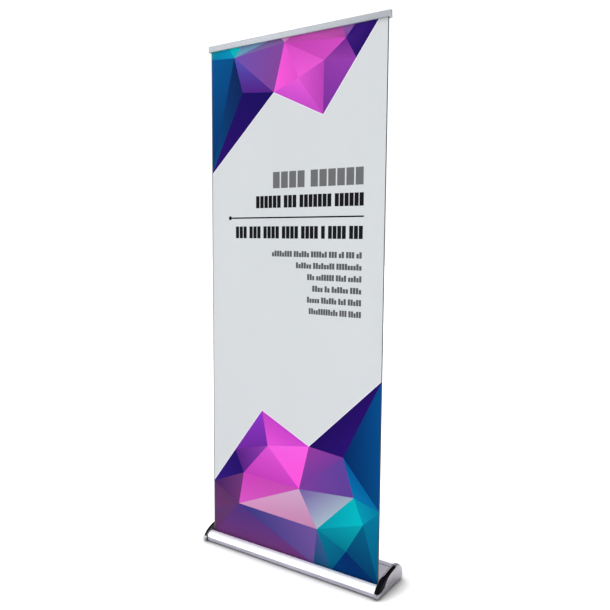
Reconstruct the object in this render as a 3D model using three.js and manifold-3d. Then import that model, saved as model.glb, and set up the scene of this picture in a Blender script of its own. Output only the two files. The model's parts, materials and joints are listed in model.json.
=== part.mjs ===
// Roll-up banner stand: a wide teardrop base that holds a sprung roller, a three-part
// telescopic pole that leans slightly forward from the base, and a clamping top rail
// that the pole carries. The banner runs from the roller, out of the base's slot, to the rail.
//
// Millimetres. X runs along the banner, -Y is the printed front, +Z is up.
// The origin is on the floor, under the middle of the base.

import * as THREE from 'three';
import { mergeVertices } from 'three/addons/utils/BufferGeometryUtils.js';
import Module from 'manifold-3d';

const wasm = await Module();
wasm.setup();

// ---- driving dimensions ------------------------------------------------------------------

const GAP = 0.3; // clearance left between neighbouring pieces
const HALF_BANNER = 425; // half of the 850 mm banner width
const BANNER_THICK = 0.3;
const BANNER_Y = -60; // plane of the hanging banner
const HALF_EXTRUSION = 430; // half length of the base extrusions and of the rail
const HALF_BASE = 448; // outer face of the end covers
const BASE_HALF_DEPTH = 108;
const BASE_BOTTOM = 8; // underside of the extrusions
const COVER_BOTTOM = 3; // underside of the end covers, which stand on the pads
const WALL = 2.2; // extrusion wall

const NOSE = { y: -77.5, z: 21, a: 24.5, b: 23 }; // polished, half-elliptical front of the base
const NOSE_SKIN = 1.7; // thickness of its snap-on cover
const SLOT = { front: -65.5, lip: -56 }; // the two sides of the banner's slot
const CROWN = { y: 44, z: 26, a: 60, b: 48.5 }; // elliptical back of the base
const PROUD = 4.5; // how far an end cover stands above the extrusions
const SPLIT_Y = 34; // joint between the front and rear extrusions

const ROLLER = { y: -41.55, z: 33, core: 16, bore: 14.8, wound: 18, half: 427 };

const RAIL_PIVOT = { y: -56.5, z: 2190.8 }; // hinge bead of the clamping rail
const RAIL_TOP = 2196;
const RAIL_FRONT = -69.5;
const RAIL_BACK = -50;
const JAW_BOTTOM = 2171;
const BACK_BOTTOM = 2169;
const BANNER_TOP = 2184;

const POLE_FOOT = { y: 6, z: 14 };
const POLE_TIP = { y: -38, z: 2169 };
const LEAN = Math.atan((POLE_FOOT.y - POLE_TIP.y) / (POLE_TIP.z - POLE_FOOT.z));
// Tube radii, and the stretch of the pole axis that each tube covers when the stand is up.
const LOWER = { r: 12.5, bore: 11.3, from: 6, to: 834 };
const MID = { r: 10.5, bore: 9.4, from: 645, to: 1493 };
const TOP = { r: 8.5, bore: 7.4, from: 1295, to: 2145 };

const SCREW_PORTS = [[-85, 14], [-18, 60.5], [40.6, 14.2], [90, 14.2]];
const PORT_BOSS = 4.3;
const PORT_HOLE = 1.8;

// ---- finishes ----------------------------------------------------------------------------

function finish(color, roughness, metalness) {
  return new THREE.MeshStandardMaterial({ color, roughness, metalness });
}
const anodised = finish(0xa9a8b4, 0.42, 0.85);
const polished = finish(0xe9ebef, 0.16, 0.95);
const chrome = finish(0xb9b9c0, 0.12, 1.0);
const glossBlack = finish(0x0b0b10, 0.12, 0.0);
const steel = finish(0x9a9ea3, 0.35, 0.9);
const zinc = finish(0x8d9096, 0.5, 0.8);
const blackPlastic = finish(0x1b1c1f, 0.55, 0.0);
const greyPlastic = finish(0x8b8e94, 0.5, 0.0);
const rubber = finish(0x161616, 0.9, 0.0);
const film = finish(0xd8dcdf, 0.6, 0.0);
const tapeFilm = finish(0xe6e2d2, 0.7, 0.0);

// ---- helpers -----------------------------------------------------------------------------

const stand = new THREE.Group();

function addPiece(name, geometry, material, parent = stand) {
  const mesh = new THREE.Mesh(geometry, material);
  mesh.name = name;
  parent.add(mesh);
  return mesh;
}

// A section drawn in (y, z) and swept along X from x0 to x1.
function sweepX(shape, x0, x1, bevel = 0, bevelSegments = 3) {
  const depth = x1 - x0 - 2 * bevel;
  const rounding = {
    bevelEnabled: true, bevelThickness: bevel, bevelSize: bevel, bevelOffset: -bevel, bevelSegments,
  };
  const options = bevel > 0 ? { depth, ...rounding } : { depth, bevelEnabled: false };
  const section = new THREE.Shape(outlinePoints(shape, 8));
  const geometry = new THREE.ExtrudeGeometry(section, options);
  const turn = new THREE.Matrix4().makeBasis(
    new THREE.Vector3(0, 1, 0), new THREE.Vector3(0, 0, 1), new THREE.Vector3(1, 0, 0),
  );
  return geometry.applyMatrix4(turn).translate(x0 + bevel, 0, 0);
}

function polygon(points) {
  return new THREE.Shape(points.map(([y, z]) => new THREE.Vector2(y, z)));
}

function disc(y, z, r, segments = 20) {
  const points = [];
  for (let i = 0; i < segments; i += 1) {
    const angle = (2 * Math.PI * i) / segments;
    points.push([y + r * Math.cos(angle), z + r * Math.sin(angle)]);
  }
  return polygon(points);
}

function radians(degrees) {
  return (degrees * Math.PI) / 180;
}

// The outline's points without repeats, so that it can be offset.
function outlinePoints(shape, divisions) {
  const points = shape.getPoints(divisions);
  return points.filter((p, i) => p.distanceTo(points[(i + 1) % points.length]) > 1e-2);
}

// A counter-clockwise outline moved inwards by a distance.
function inset(points, distance) {
  return points.map((p, i) => {
    const before = points[(i + points.length - 1) % points.length];
    const after = points[(i + 1) % points.length];
    const a = new THREE.Vector2(-(p.y - before.y), p.x - before.x).normalize();
    const b = new THREE.Vector2(-(after.y - p.y), after.x - p.x).normalize();
    const normal = a.clone().add(b).normalize();
    return p.clone().addScaledVector(normal, distance / normal.dot(a));
  });
}

function counterClockwise(points) {
  return THREE.ShapeUtils.isClockWise(points) ? points.slice().reverse() : points;
}

function toSolid(source) {
  const bare = source.clone();
  bare.deleteAttribute('normal');
  bare.deleteAttribute('uv');
  const merged = mergeVertices(bare, 1e-4);
  return new wasm.Manifold(new wasm.Mesh({
    numProp: 3,
    vertProperties: new Float32Array(merged.attributes.position.array),
    triVerts: new Uint32Array(merged.index.array),
  }));
}

function toGeometry(solid) {
  const mesh = solid.getMesh();
  const geometry = new THREE.BufferGeometry();
  geometry.setAttribute('position', new THREE.BufferAttribute(mesh.vertProperties, 3));
  geometry.setIndex(new THREE.BufferAttribute(mesh.triVerts, 1));
  geometry.computeVertexNormals();
  return geometry;
}

function cut(geometry, ...tools) {
  return toGeometry(tools.reduce((solid, tool) => solid.subtract(toSolid(tool)), toSolid(geometry)));
}

function join(...geometries) {
  const [first, ...rest] = geometries.map(toSolid);
  return toGeometry(rest.reduce((solid, other) => solid.add(other), first));
}

function common(a, b) {
  return toGeometry(toSolid(a).intersect(toSolid(b)));
}

function block(x0, x1, y0, y1, z0, z1) {
  const box = new THREE.BoxGeometry(x1 - x0, y1 - y0, z1 - z0);
  return box.translate((x0 + x1) / 2, (y0 + y1) / 2, (z0 + z1) / 2);
}

// A solid of revolution about local Z from [radius, height] pairs that close on themselves.
function turned(profile, segments = 24) {
  const points = profile.map(([r, h]) => new THREE.Vector2(r, h));
  const onAxis = profile[0][0] === 0;
  if (!onAxis) points.push(points[0].clone());
  const lathe = new THREE.LatheGeometry(points, segments).rotateX(Math.PI / 2);
  return toSolid(lathe).volume() < 0 ? flipped(lathe) : lathe;
}

// The same faces, turned to point the other way.
function flipped(geometry) {
  const copy = geometry.index ? geometry : mergeVertices(geometry);
  const index = copy.index.array;
  for (let i = 0; i < index.length; i += 3) {
    [index[i], index[i + 1]] = [index[i + 1], index[i]];
  }
  return copy;
}

// A hollow round tube about local Z.
function tube(outer, inner, from, to, segments = 24) {
  return turned([[inner, from], [outer, from], [outer, to], [inner, to]], segments);
}

// Turns a solid of revolution about Z into one about X.
function alongX(geometry, y, z) {
  return geometry.rotateY(Math.PI / 2).translate(0, y, z);
}

// The pole's own frame: local Z runs up the leaning pole from its foot.
const pole = new THREE.Group();
pole.position.set(0, POLE_FOOT.y, POLE_FOOT.z);
pole.rotation.x = LEAN;
stand.add(pole);

function placedOnPole(geometry) {
  pole.updateMatrix();
  return geometry.applyMatrix4(pole.matrix);
}

// ---- base outlines -----------------------------------------------------------------------

// Outer outline of the two base extrusions together, without the slot.
function extrusionOutline() {
  const under = NOSE_SKIN + GAP;
  const shape = new THREE.Shape();
  shape.moveTo(-95, BASE_BOTTOM);
  shape.quadraticCurveTo(-101, BASE_BOTTOM, -101.6, 12);
  shape.lineTo(-102, NOSE.z - 1.4);
  shape.lineTo(-100.1, NOSE.z - 0.6);
  shape.absellipse(NOSE.y, NOSE.z, NOSE.a - under, NOSE.b - under, radians(180), radians(62), true);
  shape.lineTo(SLOT.lip, 50);
  shape.bezierCurveTo(-51, 56, -44, 61.5, -30, 64);
  shape.bezierCurveTo(-10, 68.5, 14, CROWN.z + CROWN.b, CROWN.y, CROWN.z + CROWN.b);
  shape.absellipse(CROWN.y, CROWN.z, CROWN.a, CROWN.b, radians(90), 0, true);
  shape.quadraticCurveTo(CROWN.y + CROWN.a, BASE_BOTTOM, 88, BASE_BOTTOM);
  return shape;
}

// Outline of an end cover: one smooth rise from the toe over the slot to the crown.
function coverOutline() {
  const crown = CROWN.z + CROWN.b + PROUD;
  const rise = [
    [-107, 20], [-103.5, 28.5], [-97, 37], [-89, 44.5], [-79, 51], [-67.5, 57.5], [-55, 62.8],
    [-42, 66.5],
  ];
  const shape = new THREE.Shape();
  shape.moveTo(-92, COVER_BOTTOM);
  shape.quadraticCurveTo(-106, COVER_BOTTOM, -BASE_HALF_DEPTH, 14);
  shape.splineThru(rise.map(([y, z]) => new THREE.Vector2(y, z)));
  shape.bezierCurveTo(-20, 71.8, 14, crown, CROWN.y, crown);
  shape.absellipse(CROWN.y, CROWN.z, BASE_HALF_DEPTH - CROWN.y, CROWN.b + PROUD, radians(90), 0, true);
  shape.quadraticCurveTo(BASE_HALF_DEPTH, COVER_BOTTOM, 92, COVER_BOTTOM);
  return shape;
}

// ---- base extrusions ---------------------------------------------------------------------

// Roller chamber with the slot that the banner leaves through.
function rollerChamber() {
  return polygon([
    [SLOT.front, BASE_BOTTOM + WALL], [-14.2, BASE_BOTTOM + WALL], [-14.2, 64.9], [-30, 61.5],
    [-38.6, 59.3], [-45.2, 56.2], [-50.3, 52.6], [-53.6, 50], [-53.6, 47.6], [SLOT.lip, 47.6],
    [SLOT.lip, 56], [-58, 62], [SLOT.front, 62],
  ]);
}

// Hollow inside the nose.
function noseChamber() {
  const floor = BASE_BOTTOM + WALL;
  const shape = new THREE.Shape();
  shape.moveTo(-94, floor);
  shape.lineTo(SLOT.front - WALL, floor);
  shape.lineTo(SLOT.front - WALL, 37.4);
  shape.absellipse(NOSE.y, NOSE.z, NOSE.a - 4.2, NOSE.b - 4.2, radians(65), radians(180), false);
  shape.lineTo(-98.4, 14);
  return shape;
}

// Hollow of the rear extrusion, on both sides of its rib.
function rearChambers(fromY, ribY) {
  const floor = BASE_BOTTOM + WALL;
  const back = CROWN.y + CROWN.a - WALL;
  const shape = new THREE.Shape();
  shape.moveTo(fromY, floor);
  shape.lineTo(88, floor);
  shape.quadraticCurveTo(back, floor, back, CROWN.z);
  shape.absellipse(CROWN.y, CROWN.z, CROWN.a - WALL, CROWN.b - WALL, 0, radians(90), false);
  shape.lineTo(fromY, CROWN.z + CROWN.b - WALL - 0.6);
  const reach = HALF_EXTRUSION + 5;
  return cut(fullLength(shape), block(-reach, reach, ribY, ribY + WALL, 0, 100));
}

function fullLength(shape) {
  return sweepX(shape, -HALF_EXTRUSION - 1, HALF_EXTRUSION + 1);
}

function makeExtrusions() {
  const blank = sweepX(extrusionOutline(), -HALF_EXTRUSION, HALF_EXTRUSION);
  const socketChamber = polygon([[-12, 10.2], [31.8, 10.2], [31.8, 71.6], [-12, 65.2]]);
  const chambers = [
    fullLength(noseChamber()),
    fullLength(rollerChamber()),
    fullLength(socketChamber),
    rearChambers(SPLIT_Y + GAP + WALL, 70),
  ];
  const bosses = SCREW_PORTS.map(([y, z]) => (
    sweepX(disc(y, z, PORT_BOSS, 12), -HALF_EXTRUSION, HALF_EXTRUSION)
  ));
  const holes = SCREW_PORTS.map(([y, z]) => fullLength(disc(y, z, PORT_HOLE, 10)));
  const poleHole = placedOnPole(new THREE.CylinderGeometry(15.9, 15.9, 60, 28)
    .rotateX(Math.PI / 2).translate(0, 0, 78));
  const groove = fullLength(polygon([
    [SPLIT_Y - 1.2, 77], [SPLIT_Y - 1.2, 73.6], [SPLIT_Y + 0.15, 72.4], [SPLIT_Y + 1.5, 73.6],
    [SPLIT_Y + 1.5, 77],
  ]));
  const body = cut(join(cut(blank, ...chambers), ...bosses), ...holes, poleHole, groove);
  const reach = HALF_EXTRUSION + 5;
  addPiece('cassette_body', common(body, block(-reach, reach, -120, SPLIT_Y, 0, 100)), anodised);
  addPiece('rear_profile', common(body, block(-reach, reach, SPLIT_Y + GAP, 120, 0, 100)), anodised);
}

// The polished cover that snaps over the front of the cassette.
function makeFrontCover() {
  const shape = new THREE.Shape();
  const inner = [NOSE.a - NOSE_SKIN, NOSE.b - NOSE_SKIN];
  shape.absellipse(NOSE.y, NOSE.z, NOSE.a, NOSE.b, radians(180), radians(65), true);
  shape.absellipse(NOSE.y, NOSE.z, inner[0], inner[1], radians(66), radians(180), false);
  const points = outlinePoints(shape, 16);
  addPiece('front_cover', sweepX(new THREE.Shape(points), -HALF_EXTRUSION, HALF_EXTRUSION), polished);
}

// ---- end caps ----------------------------------------------------------------------------

const COVER_SKIN = 3;
const COVER_EDGE = 6; // rounding of the cover's outer edge
const COVER_START = HALF_EXTRUSION + GAP;

// The black inlay's inner edge, which leaves a bright rim of varying width beside the extrusions.
const INLAY_ZONES = [
  { from: -118, to: -104, x: COVER_START - 1 },
  { from: -104, to: -72, x: 437.5 },
  { from: -72, to: -42, x: 432.8 },
  { from: -42, to: 38, x: 438.5 },
];

// The curve that bounds the inlay below, seen from the end.
const SWEEP = new THREE.SplineCurve([
  [-118, 19.5], [-92, 21.5], [-68, 23], [-51, 26], [-38, 34], [-27, 45.5], [-6.5, 60], [22, 67.5],
  [46, 69.5],
].map(([y, z]) => new THREE.Vector2(y, z))).getPoints(32);

function sweepHeight(y) {
  const i = SWEEP.findIndex((p) => p.x > y);
  const [a, b] = [SWEEP[i - 1], SWEEP[i]];
  return a.y + ((b.y - a.y) * (y - a.x)) / (b.x - a.x);
}

// Part of the inlay's region between two depths, raised by a clearance.
function inlayRegion(fromY, toY, clearance) {
  const top = 95;
  const from = Math.max(fromY, SWEEP[0].x + 0.5);
  const middle = SWEEP.filter((p) => p.x > from + 0.5 && p.x < toY - 0.5);
  const lower = [new THREE.Vector2(from, sweepHeight(from)), ...middle,
    new THREE.Vector2(toY, sweepHeight(toY))];
  const points = lower.map((p) => new THREE.Vector2(p.x, p.y + clearance));
  return new THREE.Shape([new THREE.Vector2(from, top), ...points, new THREE.Vector2(toY, top)]);
}

// The inlay's region as one solid, shrunk by a clearance on the sides that face the cover.
function inlaySolid(clearance) {
  const last = INLAY_ZONES.length - 1;
  const reach = 0.1;
  return join(...INLAY_ZONES.map(({ from, to, x }, i) => {
    const stepBefore = i > 0 && INLAY_ZONES[i - 1].x > x;
    const stepAfter = i === last || INLAY_ZONES[i + 1].x > x;
    const start = stepBefore ? from + clearance : from - reach - clearance;
    const end = stepAfter ? to - clearance : to + reach + clearance;
    return sweepX(inlayRegion(start, end, clearance), x + clearance, HALF_BASE + 2);
  }));
}

function makeEndCap(side, mirror) {
  const flip = (geometry) => (mirror ? flipped(geometry.scale(-1, 1, 1)) : geometry);
  const outline = counterClockwise(outlinePoints(coverOutline(), 8));
  const x0 = COVER_START;
  const blankFrom = x0 - 2 * COVER_EDGE;
  const blank = sweepX(new THREE.Shape(outline), blankFrom, HALF_BASE, COVER_EDGE, 3);
  const cavity = sweepX(new THREE.Shape(inset(outline, COVER_SKIN)), blankFrom - 1, HALF_BASE - COVER_SKIN);
  const shell = cut(blank, cavity, block(blankFrom - 5, x0, -200, 200, -10, 120));
  addPiece(`end_cover_${side}`, flip(cut(shell, inlaySolid(0))), chrome);
  addPiece(`end_inlay_${side}`, flip(common(shell, inlaySolid(GAP))), glossBlack);

  const plateOutline = new THREE.Shape(inset(outline, COVER_SKIN + 0.5));
  const plateHoles = SCREW_PORTS.map(([y, z]) => sweepX(disc(y, z, 2.4, 12), x0 - 1, x0 + 6));
  const axleHole = sweepX(disc(ROLLER.y, ROLLER.z, 5.4, 20), x0 - 1, x0 + 6);
  const plate = cut(sweepX(plateOutline, x0, x0 + 4), ...plateHoles, axleHole);
  addPiece(`end_plate_${side}`, flip(plate), zinc);

  SCREW_PORTS.forEach(([y, z], i) => {
    const screw = turned([[0, -14], [1.5, -14], [1.5, 4.3], [3.6, 4.3], [3.2, 6.4], [0, 6.4]], 12);
    addPiece(`end_screw_${side}_${i + 1}`, flip(alongX(screw, y, z).translate(x0, 0, 0)), steel);
  });

  [['front', -92], ['rear', 66]].forEach(([where, y]) => {
    const pad = sweepX(polygon([[y, 0], [y + 24, 0], [y + 23, 2.7], [y + 1, 2.7]]), 432, 444);
    addPiece(`foot_pad_${side}_${where}`, flip(pad), rubber);
  });
}

// ---- roller ------------------------------------------------------------------------------

function makeRoller() {
  const { y, z, core, bore, wound, half } = ROLLER;
  addPiece('roller_tube', alongX(tube(core, bore, -half, half, 32), y, z), steel);
  addPiece('banner_wound', alongX(tube(wound, core + 0.9, -HALF_BANNER, HALF_BANNER, 48), y, z), film);
  const tapeShape = new THREE.Shape();
  tapeShape.absarc(y, z, core + 0.6, radians(200), radians(250), false);
  tapeShape.absarc(y, z, core + GAP, radians(250), radians(200), true);
  const tape = new THREE.Shape(outlinePoints(tapeShape, 6));
  addPiece('mounting_tape', sweepX(tape, -HALF_BANNER + 5, HALF_BANNER - 5), tapeFilm);
  const plugDepth = 20;
  [['left', -1, 6.3], ['right', 1, 4.3]].forEach(([side, sign, hole]) => {
    const from = sign < 0 ? -half + 1 : half - 1 - plugDepth;
    const plug = tube(bore - GAP, hole, from, from + plugDepth, 28);
    addPiece(`roller_plug_${side}`, alongX(plug, y, z), blackPlastic);
  });
  const plateX = HALF_EXTRUSION + GAP;
  const arborProfile = [
    [0, -plateX - 3.5], [5.1, -plateX - 3.5], [5.1, -plateX + 0.5], [8, -plateX + 0.5],
    [8, -plateX + 2.5], [6, -plateX + 2.5], [6, -plateX + 104], [0, -plateX + 104],
  ];
  addPiece('spring_arbor', alongX(turned(arborProfile, 24), y, z), zinc);
  const axleProfile = [
    [0, plateX - 26], [4, plateX - 26], [4, plateX - 2.5], [8, plateX - 2.5],
    [8, plateX - 0.5], [5.1, plateX - 0.5], [5.1, plateX + 3.5], [0, plateX + 3.5],
  ];
  addPiece('idle_axle', alongX(turned(axleProfile, 24), y, z), zinc);
}

// Helical centre line of the roller's torsion spring, about X.
class SpringCurve extends THREE.Curve {
  constructor(radius, turns, x0, x1) {
    super();
    Object.assign(this, { radius, turns, x0, x1 });
  }

  getPoint(t, target = new THREE.Vector3()) {
    const angle = 2 * Math.PI * this.turns * t;
    const x = this.x0 + (this.x1 - this.x0) * t;
    const y = ROLLER.y + this.radius * Math.cos(angle);
    const z = ROLLER.z + this.radius * Math.sin(angle);
    return target.set(x, y, z);
  }
}

function makeSpring() {
  const turns = 14;
  const wire = new THREE.Shape();
  wire.absarc(0, 0, 1.2, 0, 2 * Math.PI, false);
  const section = new THREE.Shape(outlinePoints(wire, 3));
  const path = new SpringCurve(9.4, turns, -402, -330);
  const options = { steps: turns * 10, bevelEnabled: false, extrudePath: path };
  addPiece('torsion_spring', new THREE.ExtrudeGeometry(section, options), steel);
}

// ---- pole --------------------------------------------------------------------------------

function makePole() {
  const socket = turned([
    [0, -3], [15.5, -3], [15.5, 60.8], [19, 60.8], [18, 64], [12.9, 64], [12.9, -0.6], [0, -0.6],
  ], 28);
  addPiece('pole_socket', socket, blackPlastic, pole);
  const footPlug = [[0, 0], [12.4, 0], [12.4, 5.7], [11, 5.7], [11, 11], [0, 11]];
  addPiece('pole_foot_plug', turned(footPlug, 24), blackPlastic, pole);
  addPiece('pole_tube_lower', tube(LOWER.r, LOWER.bore, LOWER.from, LOWER.to), anodised, pole);
  addPiece('pole_tube_mid', tube(MID.r, MID.bore, MID.from, MID.to), anodised, pole);
  addPiece('pole_tube_top', tube(TOP.r, TOP.bore, TOP.from, TOP.to), anodised, pole);

  const glide = (outer, inner, at) => turned([
    [0, at - 12], [outer, at - 12], [outer, at - GAP], [inner, at - GAP], [inner, at + 12], [0, at + 12],
  ], 20);
  addPiece('pole_glide_mid', glide(LOWER.bore - GAP, MID.bore - GAP, MID.from), blackPlastic, pole);
  addPiece('pole_glide_top', glide(MID.bore - GAP, TOP.bore - GAP, TOP.from), blackPlastic, pole);

  const collar = (outerTube, innerTube) => {
    const skirt = outerTube.r + GAP;
    const throat = innerTube.r + GAP;
    const at = outerTube.to;
    return turned([
      [skirt, at - 20], [skirt + 3, at - 20], [skirt + 3.6, at + 8], [throat + 2, at + 16],
      [throat, at + 16], [throat, at + GAP], [skirt, at + GAP],
    ], 24);
  };
  addPiece('lock_collar_lower', collar(LOWER, MID), blackPlastic, pole);
  addPiece('lock_collar_upper', collar(MID, TOP), blackPlastic, pole);

  const tip = [
    [0, TOP.to - 14], [TOP.bore - GAP, TOP.to - 14], [TOP.bore - GAP, TOP.to + GAP],
    [TOP.r, TOP.to + GAP], [TOP.r, TOP.to + 4], [4.8, TOP.to + 7], [4.8, TOP.to + 22], [3.6, TOP.to + 24],
    [0, TOP.to + 24],
  ];
  addPiece('pole_tip', turned(tip, 20), blackPlastic, pole);
}

// ---- top rail and banner -----------------------------------------------------------------

// A strip of constant thickness along a line of points, as a closed outline.
function strip(points, thickness) {
  const offset = points.map(([y, z], i) => {
    const [y0, z0] = points[Math.max(i - 1, 0)];
    const [y1, z1] = points[Math.min(i + 1, points.length - 1)];
    const length = Math.hypot(y1 - y0, z1 - z0);
    return [y - (thickness * (z1 - z0)) / length, z + (thickness * (y1 - y0)) / length];
  });
  return polygon([...points, ...offset.reverse()]);
}

function arcPoints(centre, radius, fromDeg, toDeg, count) {
  return Array.from({ length: count + 1 }, (_, i) => {
    const angle = radians(fromDeg + ((toDeg - fromDeg) * i) / count);
    return [centre.y + radius * Math.cos(angle), centre.z + radius * Math.sin(angle)];
  });
}

function makeRail() {
  const knuckle = RAIL_TOP - RAIL_PIVOT.z;
  const skin = 1.5;
  const bead = knuckle - skin - GAP;
  const half = HALF_EXTRUSION - 1;

  // Back profile: the hinge bead, a neck, the back leg and its grip flange.
  const backLeg = strip([
    [-57, 2189.5], [-57.8, 2184.6], [-52, 2180.5], [RAIL_BACK, 2176], [RAIL_BACK, BACK_BOTTOM],
    [-58.3, BACK_BOTTOM], [-58.3, 2179.6],
  ], -skin);
  const back = join(
    sweepX(disc(RAIL_PIVOT.y, RAIL_PIVOT.z, bead, 18), -half, half),
    sweepX(backLeg, -half, half),
  );
  const beadHole = sweepX(disc(RAIL_PIVOT.y, RAIL_PIVOT.z, 1.3, 10), -half - 1, half + 1);
  addPiece('rail_back_profile', cut(back, beadHole), anodised);

  // Front jaw: a clip round the bead, the visible face, and a grip flange.
  const clip = strip(arcPoints(RAIL_PIVOT, knuckle, -5, 200, 14), skin);
  const face = strip([
    [RAIL_PIVOT.y, RAIL_TOP], [-66.5, RAIL_TOP - 0.4], [RAIL_FRONT + 0.6, RAIL_TOP - 2.2],
    [RAIL_FRONT, RAIL_TOP - 5], [RAIL_FRONT, JAW_BOTTOM], [-61.7, JAW_BOTTOM], [-61.7, 2179.6],
  ], skin);
  const jaw = join(sweepX(clip, -half, half), sweepX(face, -half, half));
  addPiece('rail_front_jaw', jaw, anodised);

  addPiece('grip_strip_front', block(-half + 4, half - 4, -61.4, -60.5, 2173, 2179.6), rubber);
  addPiece('grip_strip_back', block(-half + 4, half - 4, -59.5, -58.6, 2171, 2179.6), rubber);

  const capOutline = new THREE.Shape();
  capOutline.moveTo(RAIL_FRONT, BACK_BOTTOM);
  capOutline.lineTo(RAIL_BACK, BACK_BOTTOM);
  capOutline.lineTo(RAIL_BACK, 2177);
  capOutline.lineTo(RAIL_PIVOT.y + knuckle, RAIL_PIVOT.z);
  capOutline.absarc(RAIL_PIVOT.y, RAIL_PIVOT.z, knuckle, 0, radians(90), false);
  capOutline.lineTo(-66.5, RAIL_TOP - 0.4);
  capOutline.lineTo(RAIL_FRONT, RAIL_TOP - 3);
  [['left', -1], ['right', 1]].forEach(([side, sign]) => {
    const from = sign < 0 ? -HALF_EXTRUSION - 2.3 : HALF_EXTRUSION - 1 + GAP;
    const eye = sweepX(disc(RAIL_PIVOT.y, RAIL_PIVOT.z, 3, 16), from - 1, from + 4);
    addPiece(`rail_cap_${side}`, cut(sweepX(capOutline, from, from + 3), eye), greyPlastic);
  });

  const hookOutline = polygon([
    [RAIL_BACK + GAP, 2159], [RAIL_BACK + GAP, 2187], [-40, 2187], [-30, 2182], [-30, 2159],
  ]);
  const pocket = placedOnPole(new THREE.CylinderGeometry(5.2, 5.2, 60, 24)
    .rotateX(Math.PI / 2).translate(0, 0, TOP.to + 25 - 30));
  const shoulder = placedOnPole(new THREE.CylinderGeometry(9, 9, 60, 24)
    .rotateX(Math.PI / 2).translate(0, 0, TOP.to + 7.5 - 30));
  addPiece('rail_hook', cut(sweepX(hookOutline, -13, 13), pocket, shoulder), blackPlastic);
}

function makeBanner() {
  const half = BANNER_THICK / 2;
  const sheet = block(-HALF_BANNER, HALF_BANNER, BANNER_Y - half, BANNER_Y + half, ROLLER.z + 1, BANNER_TOP);
  addPiece('banner_sheet', sheet, film);
}

makeExtrusions();
makeFrontCover();
makeEndCap('right', false);
makeEndCap('left', true);
makeRoller();
makeSpring();
makePole();
makeRail();
makeBanner();

export default stand;
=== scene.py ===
import json
import math
import random

import bmesh
import bpy
import numpy as np
from mathutils import Matrix, Vector, geometry, noise


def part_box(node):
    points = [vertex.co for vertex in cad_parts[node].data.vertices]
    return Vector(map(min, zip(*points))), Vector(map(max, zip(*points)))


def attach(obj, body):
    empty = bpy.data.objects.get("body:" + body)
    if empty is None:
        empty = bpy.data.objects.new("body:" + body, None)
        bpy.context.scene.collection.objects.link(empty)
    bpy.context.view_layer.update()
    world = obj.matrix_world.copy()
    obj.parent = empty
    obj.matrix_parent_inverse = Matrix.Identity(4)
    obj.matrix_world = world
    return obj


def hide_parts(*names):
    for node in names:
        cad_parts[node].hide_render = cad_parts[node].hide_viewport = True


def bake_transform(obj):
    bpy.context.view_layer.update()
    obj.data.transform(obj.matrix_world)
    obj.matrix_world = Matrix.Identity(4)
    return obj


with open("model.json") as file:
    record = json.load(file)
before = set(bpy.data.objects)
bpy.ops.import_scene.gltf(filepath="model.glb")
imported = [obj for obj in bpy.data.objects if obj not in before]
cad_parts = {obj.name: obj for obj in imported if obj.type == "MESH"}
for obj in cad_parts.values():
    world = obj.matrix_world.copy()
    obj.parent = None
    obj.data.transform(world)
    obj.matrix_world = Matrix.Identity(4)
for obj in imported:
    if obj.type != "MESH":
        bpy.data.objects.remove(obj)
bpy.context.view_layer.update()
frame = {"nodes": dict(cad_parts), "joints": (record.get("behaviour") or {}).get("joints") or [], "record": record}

# Roll-up banner stand. Lengths are millimetres in the shape code and become metres in make_mesh.
# X runs along the banner, -Y is the printed front and +Z is up.
MM = 0.001


def cad(node):
    """The CAD node's lowest and highest corners, in millimetres."""
    low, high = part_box(node)
    return low / MM, high / MM


# ---- driving dimensions, from the frame where a node gives them -------------

HALF_EXTRUSION = cad("cassette_body")[1].x
HALF_BASE = cad("end_cover_right")[1].x
TOE_Y = cad("end_cover_right")[0].y
BACK_Y = cad("end_cover_right")[1].y
COVER_BOTTOM = cad("end_cover_right")[0].z
COVER_TOP = cad("end_cover_right")[1].z
BASE_BOTTOM = cad("cassette_body")[0].z
SPLIT_Y = cad("cassette_body")[1].y
REAR_FROM = cad("rear_profile")[0].y
BANNER_LOW, BANNER_HIGH = cad("banner_sheet")
BANNER_Y = (BANNER_LOW.y + BANNER_HIGH.y) / 2
BANNER_THICK = BANNER_HIGH.y - BANNER_LOW.y
HALF_BANNER = BANNER_HIGH.x
JAW_LOW, JAW_HIGH = cad("rail_front_jaw")
RAIL_BOTTOM = cad("rail_back_profile")[0].z
RAIL_HALF = JAW_HIGH.x

# Ellipses of the base's section: centre (y, z) and half axes a along Y and b along Z.
NOSE = {"y": -77.5, "z": 21.0, "a": 24.5, "b": 23.0}
CROWN = {"y": 44.0, "z": 26.0, "a": 60.0, "b": 48.5}
BASE_TOP = CROWN["z"] + CROWN["b"]
NOSE_SKIN = 1.7  # wall of the polished tube
WALL = 2.2  # wall of the extrusions
SLOT_FRONT, SLOT_LIP = -65.5, -56.0  # the banner leaves the base between these
CHAMBER_BACK = -14.2  # rear wall of the roller chamber
GROOVE_HALF, GROOVE_BEVEL, GROOVE_DEPTH = 1.7, 0.2, 5.0  # the groove where the extrusions meet
PROUD = 4.5  # how far the end covers stand above the extrusions

RAIL_PIVOT = Vector((-56.5, 2190.8))  # (y, z) of the bead that the jaw turns on
RAIL_SKIN = 1.5
RAIL_BACK = -50
FRONT_LEG, BACK_LEG, LEG_TOP = -61.7, -58.3, 2179.6  # the two legs that hold the grip strips

POLE_AXIS = Vector(next(j for j in frame["joints"] if j["name"] == "pole_extend")["axis"]).normalized()
POLE_FOOT = Vector((0.0, 6.0, 14.0))
SOCKET_R = 15.5  # outer radius of the socket
# Each pole section: outer radius, bore, and where it starts and ends along the pole.
LOWER = {"r": 12.5, "bore": 11.3, "from": 6, "to": 834}
MID = {"r": 10.5, "bore": 9.4, "from": 645, "to": 1493}
TOP = {"r": 8.5, "bore": 7.4, "from": 1295, "to": 2145}


# ---- camera and stage -------------------------------------------------------

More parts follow.
